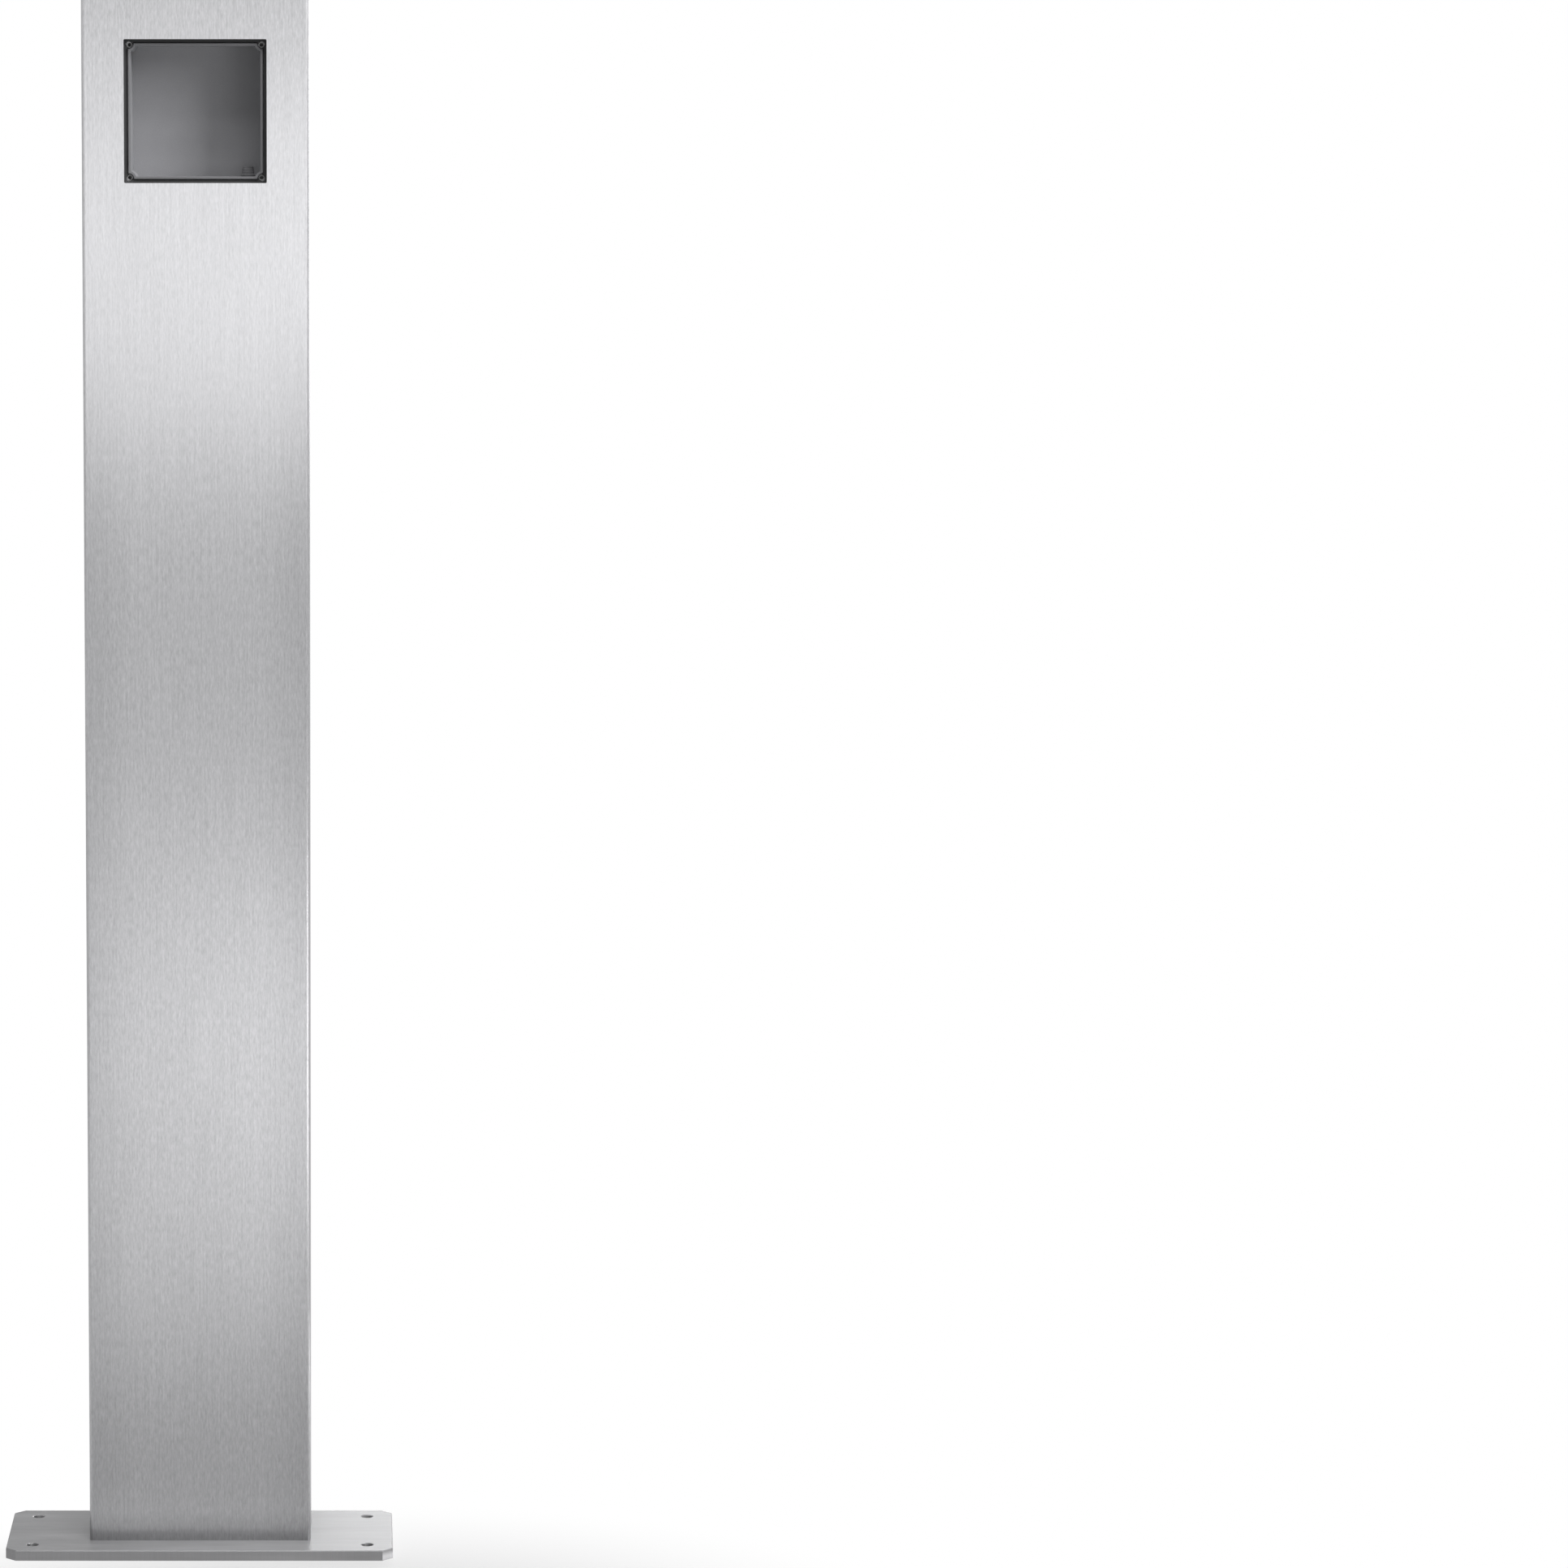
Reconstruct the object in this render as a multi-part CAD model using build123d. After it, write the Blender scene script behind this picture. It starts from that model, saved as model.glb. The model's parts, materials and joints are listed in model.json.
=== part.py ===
"""Intercom mounting post: a folded stainless column on a bolted foot, with a flush box behind its window.

Millimetres. +Z is up, +X is to the right of someone facing the post, and the front faces -Y.
The origin is the middle of the base plate's underside.
"""
import math
import os

from build123d import *

# Overall sizes
TOTAL_HEIGHT = 1200.0
POST_WIDTH = 172.0
POST_DEPTH = 60.0
SHEET = 2.0
BEND_OUTER = 2.5
BEND_INNER = 0.5

# Base plate
PLATE_WIDTH = 300.0
PLATE_DEPTH = 120.0
PLATE_THICK = 8.0
PLATE_CORNER = 8.0
PLATE_EDGE = 0.6
ANCHOR_X = 130.0
ANCHOR_Y = 42.0
ANCHOR_R = 4.5
CABLE_HOLE_R = 22.0

# Window and the box behind it, seen from the front
WINDOW = 108.0
WINDOW_MARGIN = 32.0
WINDOW_CORNER = 1.0
WINDOW_Z = TOTAL_HEIGHT - WINDOW_MARGIN - WINDOW / 2
BOX_WIDTH = 102.5
BOX_WALL = 2.1
BOX_RECESS = 7.0
BOX_DEPTH = 45.0
NOTCH_R = 4.4
RIM_ROUND = 0.8
FLANGE = 124.0
FLANGE_THICK = 2.5
FLANGE_RECESS = 10.0
GASKET_LINER = 1.5
GASKET_INNER = 109.0
BOX_STUD_X = 58.5
BOX_STUD_Z = 40.0
INSERT_PITCH = 100.0
INSERT_R = 2.3
INSERT_BORE = 1.25
INSERT_LENGTH = 6.0
BOSS_R = 4.2
BOSS_LENGTH = 8.0
LINER_GAP = 0.15

# Rubber cable cone in the floor of the box, low on the right
CONE_X = 39.0
CONE_Y = 8.0
CONE_BORE_R = 3.05
CONE_NECK_R = 5.0
CONE_TIP_R = 4.2
CONE_TAPER = 6.0
CONE_LIP_R = 5.6
CONE_LIP = 1.5
CONE_COLLAR_R = 6.2
CONE_COLLAR = 1.8

# Back opening, lift-off cover and its hooks
LIP = 18.0
SEAL_GAP = 1.0
SEAL_THICK = 0.9
SEAL_WIDTH = 4.5
SEAL_INSET = 0.3
SEAL_BOTTOM = 34.0
COVER_SIDE_GAP = 0.5
COVER_BOTTOM = PLATE_THICK + 1.0
HOOK_X = 75.0
HOOK_THICK = 2.0
HOOK_NECK = 10.0
HOOK_DROP = 8.0
HOOK_NOSE = 2.5
HOOK_TRAVEL = 9.5
HOOK_SLOT_HEIGHT = HOOK_NECK + HOOK_TRAVEL + 0.5
HOOK_SLOT_WIDTH = 3.0
HOOK_LEVELS = (110.0, 610.0, 1110.0)
COVER_SCREW_Z = 24.0
COVER_NOTCH_R = 3.0

# Foot angles
ANGLE_THICK = 5.0
ANGLE_UPRIGHT = 60.0
ANGLE_FLAT = 45.0
ANGLE_FRONT = -24.0
ANGLE_BACK = 22.0
FOOT_SCREW_X = 58.0
FOOT_SCREW_Y = 13.0
FOOT_STUD_Y = 12.0
FOOT_STUD_Z = 48.0
EARTH_STUD_Z = 150.0

# Metric hardware: thread radius, nut across flats and height, washer radius and thickness
M4 = {"r": 2.0, "flats": 7.0, "nut": 3.2, "washer_r": 4.5, "washer": 0.8}
M6 = {"r": 3.0, "flats": 10.0, "nut": 5.0, "washer_r": 6.0, "washer": 1.6}
M8 = {"r": 4.0, "flats": 13.0, "nut": 6.5, "washer_r": 8.0, "washer": 1.6}
RIVET_NUT_R = 3.5
RIVET_COLLAR_R = 4.75
RIVET_LENGTH = 11.0
COVER_SCREW_R = 2.5

# Faces worked out from the sizes above
FRONT = -POST_DEPTH / 2
SHEET_BACK = FRONT + SHEET
COVER_OUTSIDE = POST_DEPTH / 2
COVER_INSIDE = COVER_OUTSIDE - SHEET
LIP_OUTSIDE = COVER_INSIDE - SEAL_GAP
LIP_INSIDE = LIP_OUTSIDE - SHEET
WALL_INSIDE = POST_WIDTH / 2 - SHEET
LIP_END = POST_WIDTH / 2 - LIP
FLANGE_FRONT = FRONT + FLANGE_RECESS
FLANGE_BACK = FLANGE_FRONT + FLANGE_THICK
RIM_FRONT = FRONT + BOX_RECESS
BOX_BACK = RIM_FRONT + BOX_DEPTH
BOX_FLOOR = WINDOW_Z - BOX_WIDTH / 2
FIT = 0.05


def block(x_range, y_range, z_range):
    """A box between two limits on each axis."""
    limits = (x_range, y_range, z_range)
    sizes = [high - low for low, high in limits]
    middle = [(high + low) / 2 for low, high in limits]
    return Pos(*middle) * Box(*sizes)


def rod(radius, length, start, direction):
    """A round bar that starts at a point and runs along a direction."""
    plane = Plane(origin=start, z_dir=direction)
    return extrude(plane * Circle(radius), amount=length)


def ring(outer, inner, length, start, direction):
    """A washer or tube that starts at a point and runs along a direction."""
    plane = Plane(origin=start, z_dir=direction)
    return extrude(plane * (Circle(outer) - Circle(inner)), amount=length)


def cone(radius_start, radius_end, length, start, direction):
    """A round taper that starts at a point and runs along a direction."""
    plane = Plane(origin=start, z_dir=direction)
    return plane * Cone(radius_start, radius_end, length, align=(Align.CENTER, Align.CENTER, Align.MIN))


def hex_nut(flats, bore, height, start, direction):
    """A hexagon nut with its six outer corners turned off at both ends."""
    plane = Plane(origin=start, z_dir=direction)
    hexagon = extrude(plane * RegularPolygon(flats / 2, 6, major_radius=False), amount=height)
    corner_r = flats / math.sqrt(3)
    turned = chamfer(rod(corner_r, height, start, direction).edges(), (corner_r - flats / 2) * 0.55)
    return (hexagon & turned) - rod(bore, height, start, direction)


def facing(sketch, y_front, y_back):
    """A sketch drawn as seen from the front, centred on the window, made solid between two depths."""
    plane = Plane(origin=(0, y_back, WINDOW_Z), x_dir=(1, 0, 0), z_dir=(0, -1, 0))
    return extrude(plane * sketch, amount=y_back - y_front)


def square_points(half_x, half_z):
    """The four corners of a rectangle about the window's centre."""
    return [(x, z) for x in (-half_x, half_x) for z in (-half_z, half_z)]


def front_shell():
    """Folded C-section with the window, the hook slots and the two rivet-nut holes in its lips."""
    depth = LIP_OUTSIDE - FRONT
    middle = (LIP_OUTSIDE + FRONT) / 2
    outer = fillet(Rectangle(POST_WIDTH, depth).vertices(), BEND_OUTER)
    inner = fillet(Rectangle(POST_WIDTH - 2 * SHEET, depth - 2 * SHEET).vertices(), BEND_INNER)
    section = Pos(0, middle) * (outer - inner)
    section -= Pos(0, LIP_INSIDE) * Rectangle(2 * LIP_END, 4 * SHEET)
    shell = extrude(Pos(0, 0, PLATE_THICK) * section, amount=TOTAL_HEIGHT - PLATE_THICK)
    window = fillet(Rectangle(WINDOW, WINDOW).vertices(), WINDOW_CORNER)
    shell -= facing(window, FRONT - SHEET, SHEET_BACK + SHEET)
    for side in (-1, 1):
        for level in HOOK_LEVELS:
            slot_x = (side * HOOK_X - HOOK_SLOT_WIDTH / 2, side * HOOK_X + HOOK_SLOT_WIDTH / 2)
            slot_y = (LIP_INSIDE - SHEET, LIP_OUTSIDE + SHEET)
            shell -= block(slot_x, slot_y, (level, level + HOOK_SLOT_HEIGHT))
        shell -= rod(RIVET_NUT_R + FIT, 3 * SHEET, (side * HOOK_X, LIP_INSIDE - SHEET, COVER_SCREW_Z), (0, 1, 0))
    return shell


def top_cap():
    """Lid set in between the walls, turned down at both sides and across the back opening."""
    underside = TOTAL_HEIGHT - SHEET
    lid = block((-WALL_INSIDE, WALL_INSIDE), (SHEET_BACK, LIP_INSIDE), (underside, TOTAL_HEIGHT))
    lid = chamfer(lid.edges().filter_by(Axis.Z), 1.0)
    tab_end = LIP_END - 0.2
    lid += block((-tab_end, tab_end), (LIP_INSIDE, LIP_OUTSIDE), (underside - 20, TOTAL_HEIGHT))
    for side in (-1, 1):
        flange_x = sorted((side * WALL_INSIDE, side * (WALL_INSIDE - SHEET)))
        lid += block(flange_x, (SHEET_BACK + 4, LIP_INSIDE - 4), (underside - 16, underside))
    return lid


def base_plate():
    """Foot with four anchor holes, the cable hole and countersinks for the screws of the foot angles."""
    outline = chamfer(Rectangle(PLATE_WIDTH, PLATE_DEPTH).vertices(), PLATE_CORNER)
    plate = extrude(outline, amount=PLATE_THICK)
    plate = chamfer(plate.faces().sort_by(Axis.Z)[-1].edges(), PLATE_EDGE)
    for x in (-ANCHOR_X, ANCHOR_X):
        for y in (-ANCHOR_Y, ANCHOR_Y):
            plate -= rod(ANCHOR_R, PLATE_THICK, (x, y, 0), (0, 0, 1))
            edge = (x, y, PLATE_THICK - PLATE_EDGE)
            plate -= cone(ANCHOR_R, ANCHOR_R + PLATE_EDGE, PLATE_EDGE, edge, (0, 0, 1))
    for x in (-FOOT_SCREW_X, FOOT_SCREW_X):
        for y in (-FOOT_SCREW_Y, FOOT_SCREW_Y):
            plate -= rod(4.3, PLATE_THICK, (x, y, 0), (0, 0, 1))
            plate -= cone(8.3, 4.3, 4.0, (x, y, 0), (0, 0, 1))
    return plate - rod(CABLE_HOLE_R, PLATE_THICK, (0, 0, 0), (0, 0, 1))


def cable_grommet():
    """Rubber bush in the plate's cable hole, with its collar on top of the plate."""
    bush = rod(CABLE_HOLE_R - FIT, PLATE_THICK - 1.0, (0, 0, 1.0), (0, 0, 1))
    collar = rod(CABLE_HOLE_R + 5.0, 2.5, (0, 0, PLATE_THICK), (0, 0, 1))
    collar = fillet(collar.edges().group_by(Axis.Z)[-1], 1.2)
    return bush + collar - rod(16.0, PLATE_THICK + 2.5, (0, 0, 0), (0, 0, 1))


def foot_angle(side):
    """Angle that stands on the plate and lies against one side wall."""
    top = PLATE_THICK + ANGLE_UPRIGHT
    depth = (ANGLE_FRONT, ANGLE_BACK)
    upright = block(sorted((side * WALL_INSIDE, side * (WALL_INSIDE - ANGLE_THICK))), depth, (PLATE_THICK, top))
    flat_x = sorted((side * WALL_INSIDE, side * (WALL_INSIDE - ANGLE_FLAT)))
    angle = upright + block(flat_x, depth, (PLATE_THICK, PLATE_THICK + ANGLE_THICK))
    inner_corner = angle.edges().filter_by(Axis.Y).sort_by_distance(
        (side * (WALL_INSIDE - ANGLE_THICK), 0, PLATE_THICK + ANGLE_THICK))[0]
    angle = fillet(inner_corner, ANGLE_THICK / 2)
    for y in (-FOOT_SCREW_Y, FOOT_SCREW_Y):
        angle -= rod(4.5, ANGLE_THICK, (side * FOOT_SCREW_X, y, PLATE_THICK), (0, 0, 1))
    for y in (-FOOT_STUD_Y, FOOT_STUD_Y):
        angle -= rod(3.3, ANGLE_THICK, (side * WALL_INSIDE, y, FOOT_STUD_Z), (-side, 0, 0))
    return angle


def foot_screw_places():
    """Where the screws come up through the plate and the angles."""
    return [(x, y) for x in (-FOOT_SCREW_X, FOOT_SCREW_X) for y in (-FOOT_SCREW_Y, FOOT_SCREW_Y)]


def foot_plate_screws():
    """M8 countersunk screws with a hexagon socket, heads flush in the plate's underside."""
    screws = []
    for x, y in foot_screw_places():
        start = (x, y, 0.2)
        screw = cone(2 * M8["r"], M8["r"], M8["r"], start, (0, 0, 1)) + rod(M8["r"], 24.0, start, (0, 0, 1))
        mouth = Plane(origin=start, z_dir=(0, 0, 1))
        socket = extrude(mouth * RegularPolygon(2.5, 6, major_radius=False), amount=2.5)
        screws.append(screw - socket)
    return Compound(children=screws)


def foot_plate_washers():
    """Plain washers under the foot nuts."""
    level = PLATE_THICK + ANGLE_THICK
    return Compound(children=[
        ring(M8["washer_r"], M8["r"] + 0.2, M8["washer"], (x, y, level), (0, 0, 1))
        for x, y in foot_screw_places()])


def foot_plate_nuts():
    """M8 nuts on the screws that come up through the plate."""
    level = PLATE_THICK + ANGLE_THICK + M8["washer"]
    return Compound(children=[
        hex_nut(M8["flats"], M8["r"] + FIT, M8["nut"], (x, y, level), (0, 0, 1))
        for x, y in foot_screw_places()])


def side_wall_places(levels_and_depths, inset):
    """Points on both inner side walls, set in by a distance, with the direction away from the wall."""
    return [((side * (WALL_INSIDE - inset), y, z), (-side, 0, 0))
            for side in (-1, 1) for y, z in levels_and_depths]


def side_wall_studs(places):
    """M6 weld studs standing on the inner side walls."""
    return Compound(children=[
        rod(M6["r"], 20.0, start, inward) for start, inward in side_wall_places(places, 0)])


def side_wall_washers(places, inset):
    """Washers on the studs of the side walls."""
    return Compound(children=[
        ring(M6["washer_r"], M6["r"] + 0.2, M6["washer"], start, inward)
        for start, inward in side_wall_places(places, inset)])


def side_wall_nuts(places, inset):
    """M6 nuts on the studs of the side walls."""
    return Compound(children=[
        hex_nut(M6["flats"], M6["r"] + FIT, M6["nut"], start, inward)
        for start, inward in side_wall_places(places, inset + M6["washer"])])


def notched_square(width, notch_r):
    """A square with a round bite out of each corner, all bites centred on the box's outer corners."""
    half = BOX_WIDTH / 2
    outline = Rectangle(width, width)
    for x, z in square_points(half, half):
        outline -= Pos(x, z) * Circle(notch_r)
    return outline


def flush_box():
    """Moulded box behind the window: notched wall, back, flange, bosses and the cable cone's hole."""
    outer = notched_square(BOX_WIDTH, NOTCH_R)
    inner = notched_square(BOX_WIDTH - 2 * BOX_WALL, NOTCH_R + BOX_WALL)
    rim = FLANGE_FRONT - GASKET_LINER
    body = facing(outer, rim, BOX_BACK)
    collar = facing(outer, RIM_FRONT, rim)
    collar = fillet(collar.edges().group_by(Axis.Y)[0], RIM_ROUND)
    body += collar
    body += facing(fillet(Rectangle(FLANGE, FLANGE).vertices(), 3.0), FLANGE_FRONT, FLANGE_BACK)
    for x, z in square_points(INSERT_PITCH / 2, INSERT_PITCH / 2):
        body += facing(Pos(x, z) * Circle(BOSS_R), FLANGE_BACK, FLANGE_BACK + BOSS_LENGTH)
    body -= facing(inner, RIM_FRONT - 1, BOX_BACK - BOX_WALL)
    for x, z in square_points(INSERT_PITCH / 2, INSERT_PITCH / 2):
        body -= facing(Pos(x, z) * Circle(INSERT_R + FIT), RIM_FRONT, FLANGE_FRONT + INSERT_LENGTH + 0.5)
    for x, z in square_points(BOX_STUD_X, BOX_STUD_Z):
        body -= facing(Pos(x, z) * Circle(M4["r"] + 0.3), FLANGE_FRONT - 1, FLANGE_BACK + 1)
    return body - cone_rod(CONE_NECK_R + FIT, 2 * BOX_WALL, -BOX_WALL / 2)


def box_gasket():
    """Black rubber frame between sheet and flange, with a thin liner that runs in to the box wall."""
    frame = Rectangle(FLANGE, FLANGE) - Rectangle(GASKET_INNER, GASKET_INNER)
    for x, z in square_points(BOX_STUD_X, BOX_STUD_Z):
        frame -= Pos(x, z) * Circle(M4["r"] + 0.3)
    liner = Rectangle(GASKET_INNER, GASKET_INNER)
    liner -= notched_square(BOX_WIDTH + 2 * LINER_GAP, NOTCH_R - LINER_GAP)
    for x, z in square_points(INSERT_PITCH / 2, INSERT_PITCH / 2):
        liner -= Pos(x, z) * Circle(INSERT_R + 0.5)
    return facing(frame, SHEET_BACK, FLANGE_FRONT) + facing(liner, FLANGE_FRONT - GASKET_LINER, FLANGE_FRONT)


def module_inserts():
    """Threaded polymer bushes in the rim's corner notches, with a groove round the middle."""
    inserts = []
    for x, z in square_points(INSERT_PITCH / 2, INSERT_PITCH / 2):
        start = (x, FLANGE_FRONT, WINDOW_Z + z)
        insert = rod(INSERT_R, INSERT_LENGTH, start, (0, 1, 0))
        insert -= ring(INSERT_R, INSERT_R - 0.4, 1.2, (x, FLANGE_FRONT + 2.4, WINDOW_Z + z), (0, 1, 0))
        inserts.append(insert - rod(INSERT_BORE, INSERT_LENGTH, start, (0, 1, 0)))
    return Compound(children=inserts)


def box_stud_places(y):
    """The four studs round the window, at one depth."""
    return [(x, y, WINDOW_Z + z) for x, z in square_points(BOX_STUD_X, BOX_STUD_Z)]


def box_studs():
    """M4 weld studs on the back of the front sheet."""
    return Compound(children=[rod(M4["r"], 17.0, place, (0, 1, 0)) for place in box_stud_places(SHEET_BACK)])


def box_washers():
    """Washers on the box's flange."""
    return Compound(children=[
        ring(M4["washer_r"], M4["r"] + 0.15, M4["washer"], place, (0, 1, 0))
        for place in box_stud_places(FLANGE_BACK)])


def box_nuts():
    """M4 nuts that clamp the box's flange."""
    return Compound(children=[
        hex_nut(M4["flats"], M4["r"] + FIT, M4["nut"], place, (0, 1, 0))
        for place in box_stud_places(FLANGE_BACK + M4["washer"])])


def cone_rod(radius, length, level):
    """A round bar on the cable cone's axis that starts at a level above the box's underside."""
    return rod(radius, length, (CONE_X, CONE_Y, BOX_FLOOR + level), (0, 0, 1))


def cable_cone():
    """Rubber cone snapped into the floor of the box: a collar below it, a lip above and an open taper."""
    lip_top = BOX_WALL + CONE_LIP
    body = cone_rod(CONE_COLLAR_R, CONE_COLLAR, -CONE_COLLAR) + cone_rod(CONE_NECK_R, BOX_WALL, 0)
    body += cone_rod(CONE_LIP_R, CONE_LIP, BOX_WALL)
    body += cone(CONE_NECK_R, CONE_TIP_R, CONE_TAPER, (CONE_X, CONE_Y, BOX_FLOOR + lip_top), (0, 0, 1))
    return body - cone_rod(CONE_BORE_R, CONE_COLLAR + lip_top + CONE_TAPER, -CONE_COLLAR)


def cable_tie_bases():
    """Stick-on tie bases up the middle of the front sheet, each with a cross tunnel for the tie."""
    bases = []
    for level in (300.0, 600.0, 900.0):
        base = block((-10, 10), (SHEET_BACK, SHEET_BACK + 2), (level - 10, level + 10))
        base = chamfer(base.edges().filter_by(Axis.Y), 1.5)
        base += block((-5, 5), (SHEET_BACK + 2, SHEET_BACK + 6), (level - 6, level + 6))
        base -= block((-6, 6), (SHEET_BACK + 2.2, SHEET_BACK + 4.2), (level - 3, level + 3))
        bases.append(base)
    return Compound(children=bases)


def rear_cover():
    """Flat back panel with two open notches that slip over the loosened screws."""
    half = POST_WIDTH / 2 - COVER_SIDE_GAP
    cover = block((-half, half), (COVER_INSIDE, COVER_OUTSIDE), (COVER_BOTTOM, TOTAL_HEIGHT))
    cover = chamfer(cover.edges().filter_by(Axis.Y), 1.0)
    for x in (-HOOK_X, HOOK_X):
        cover -= rod(COVER_NOTCH_R, 3 * SHEET, (x, COVER_INSIDE - SHEET, COVER_SCREW_Z), (0, 1, 0))
        notch_x = (x - COVER_NOTCH_R, x + COVER_NOTCH_R)
        cover -= block(notch_x, (COVER_INSIDE - SHEET, COVER_OUTSIDE + SHEET), (COVER_BOTTOM - 1, COVER_SCREW_Z))
    return cover


def cover_hooks():
    """Bent hooks welded inside the cover: each reaches through its slot and hangs down behind the lip."""
    nose_back = LIP_INSIDE - 0.5
    nose_front = nose_back - HOOK_NOSE
    hooks = []
    for x in (-HOOK_X, HOOK_X):
        for level in HOOK_LEVELS:
            seat = level + 0.1
            hook_x = (x - HOOK_THICK / 2, x + HOOK_THICK / 2)
            hook = block(hook_x, (nose_front, COVER_INSIDE), (seat, seat + HOOK_NECK))
            hook += block(hook_x, (nose_front, nose_back), (seat - HOOK_DROP, seat))
            hooks.append(hook)
    return Compound(children=hooks)


def cover_seal():
    """Foam strip up both lips and across the cap's flange."""
    outer = LIP_END + SEAL_INSET + SEAL_WIDTH
    depth = (LIP_OUTSIDE, LIP_OUTSIDE + SEAL_THICK)
    top = TOTAL_HEIGHT - 6.0
    seal = block((-outer, outer), depth, (top - SEAL_WIDTH, top))
    for side in (-1, 1):
        strip_x = sorted((side * outer, side * (outer - SEAL_WIDTH)))
        seal += block(strip_x, depth, (SEAL_BOTTOM, top))
    return seal


def cover_screws():
    """M5 button-head screws with a tamper-resistant socket, loosened by a third of a millimetre."""
    under_head = COVER_OUTSIDE + 0.3
    screws = []
    for x in (-HOOK_X, HOOK_X):
        head = rod(4.75, 2.75, (x, under_head, COVER_SCREW_Z), (0, 1, 0))
        head = fillet(head.edges().group_by(Axis.Y)[-1], 2.2)
        shank = rod(COVER_SCREW_R, 12.3, (x, under_head, COVER_SCREW_Z), (0, -1, 0))
        mouth = Plane(origin=(x, under_head + 2.75, COVER_SCREW_Z), z_dir=(0, -1, 0))
        socket = extrude(mouth * (RegularPolygon(1.5, 6, major_radius=False) - Circle(0.6)), amount=1.6)
        screws.append(head + shank - socket)
    return Compound(children=screws)


def lip_rivet_nuts():
    """Rivet nuts in the lips, for the cover's screws."""
    nuts = []
    for x in (-HOOK_X, HOOK_X):
        bore = COVER_SCREW_R + FIT
        collar = ring(RIVET_COLLAR_R, bore, 0.8, (x, LIP_OUTSIDE, COVER_SCREW_Z), (0, 1, 0))
        barrel = ring(RIVET_NUT_R, bore, RIVET_LENGTH, (x, LIP_OUTSIDE, COVER_SCREW_Z), (0, -1, 0))
        bulge = ring(RIVET_COLLAR_R - 0.15, RIVET_NUT_R, 1.6, (x, LIP_INSIDE, COVER_SCREW_Z), (0, -1, 0))
        nuts.append(collar + barrel + bulge)
    return Compound(children=nuts)


FOOT_STUDS = [(-FOOT_STUD_Y, FOOT_STUD_Z), (FOOT_STUD_Y, FOOT_STUD_Z)]
EARTH_STUDS = [(0, EARTH_STUD_Z)]

NODES = {
    "front_shell": front_shell(),
    "top_cap": top_cap(),
    "base_plate": base_plate(),
    "cable_grommet": cable_grommet(),
    "foot_angle_left": foot_angle(-1),
    "foot_angle_right": foot_angle(1),
    "foot_plate_screws": foot_plate_screws(),
    "foot_plate_washers": foot_plate_washers(),
    "foot_plate_nuts": foot_plate_nuts(),
    "foot_weld_studs": side_wall_studs(FOOT_STUDS),
    "foot_washers": side_wall_washers(FOOT_STUDS, ANGLE_THICK),
    "foot_nuts": side_wall_nuts(FOOT_STUDS, ANGLE_THICK),
    "earth_studs": side_wall_studs(EARTH_STUDS),
    "earth_washers": side_wall_washers(EARTH_STUDS, 0),
    "earth_nuts": side_wall_nuts(EARTH_STUDS, 0),
    "flush_box": flush_box(),
    "box_gasket": box_gasket(),
    "module_inserts": module_inserts(),
    "box_studs": box_studs(),
    "box_washers": box_washers(),
    "box_nuts": box_nuts(),
    "cable_cone": cable_cone(),
    "cable_tie_bases": cable_tie_bases(),
    "rear_cover": rear_cover(),
    "cover_hooks": cover_hooks(),
    "cover_seal": cover_seal(),
    "cover_screws": cover_screws(),
    "lip_rivet_nuts": lip_rivet_nuts(),
}

os.makedirs("parts", exist_ok=True)
for name, shape in NODES.items():
    export_step(shape, f"parts/{name}.step")
    print(name, "solids", len(shape.solids()), "volume_mm3", round(shape.volume))
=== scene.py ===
# %% [markdown]
# # An intercom mounting post in brushed stainless steel
#
# The object is a slim post that carries an intercom at hand height beside a gate. A folded steel shell stands on a
# bolted foot plate, and a moulded box waits behind a square window near the top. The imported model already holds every
# piece at its real size, so this lesson is about light and finish: what each surface is, how a node tree can say it,
# and which small forms, such as threads and rubber edges, are worth working out as meshes of their own.

# %% Load the fixed model
import json
import math

import bpy
import numpy as np
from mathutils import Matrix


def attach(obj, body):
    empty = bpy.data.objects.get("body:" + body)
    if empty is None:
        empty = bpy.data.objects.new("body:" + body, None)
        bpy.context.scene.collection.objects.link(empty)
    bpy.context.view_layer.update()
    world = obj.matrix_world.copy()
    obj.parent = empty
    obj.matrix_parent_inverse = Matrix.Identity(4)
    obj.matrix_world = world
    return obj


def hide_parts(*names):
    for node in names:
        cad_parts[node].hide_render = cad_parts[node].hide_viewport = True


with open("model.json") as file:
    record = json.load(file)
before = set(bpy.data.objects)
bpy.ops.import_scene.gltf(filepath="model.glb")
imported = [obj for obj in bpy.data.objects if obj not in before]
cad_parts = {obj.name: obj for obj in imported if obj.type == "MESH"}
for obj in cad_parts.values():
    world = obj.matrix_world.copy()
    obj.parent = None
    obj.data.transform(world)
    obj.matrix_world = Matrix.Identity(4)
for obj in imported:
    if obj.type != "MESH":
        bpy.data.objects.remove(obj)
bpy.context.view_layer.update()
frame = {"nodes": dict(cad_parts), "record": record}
nodes = frame["nodes"]

# %% [markdown]
# ## Helpers used everywhere
#
# A colour is written as the hex value a painter would pick on a screen. Shaders add light, so they need the linear
# value, and one function converts it. A node tree is easier to read when each node is one call that holds its
# settings, its fixed values and its links, so a second function does that for every kind of node. Two more build on
# it for what is needed most often: arithmetic on values, and a smooth step from one level to another.

# %% Colour and node helpers
MM = 0.001


def linear(hex_colour, share=1.0):
    """sRGB hex to linear RGBA: v/12.92 up to 0.04045, else ((v + 0.055)/1.055) to the power 2.4, times a share."""
    srgb = np.array([int(hex_colour[i:i + 2], 16) for i in (1, 3, 5)]) / 255
    rgb = np.where(srgb <= 0.04045, srgb / 12.92, ((srgb + 0.055) / 1.055) ** 2.4) * share
    return (*rgb.tolist(), 1.0)


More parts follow.
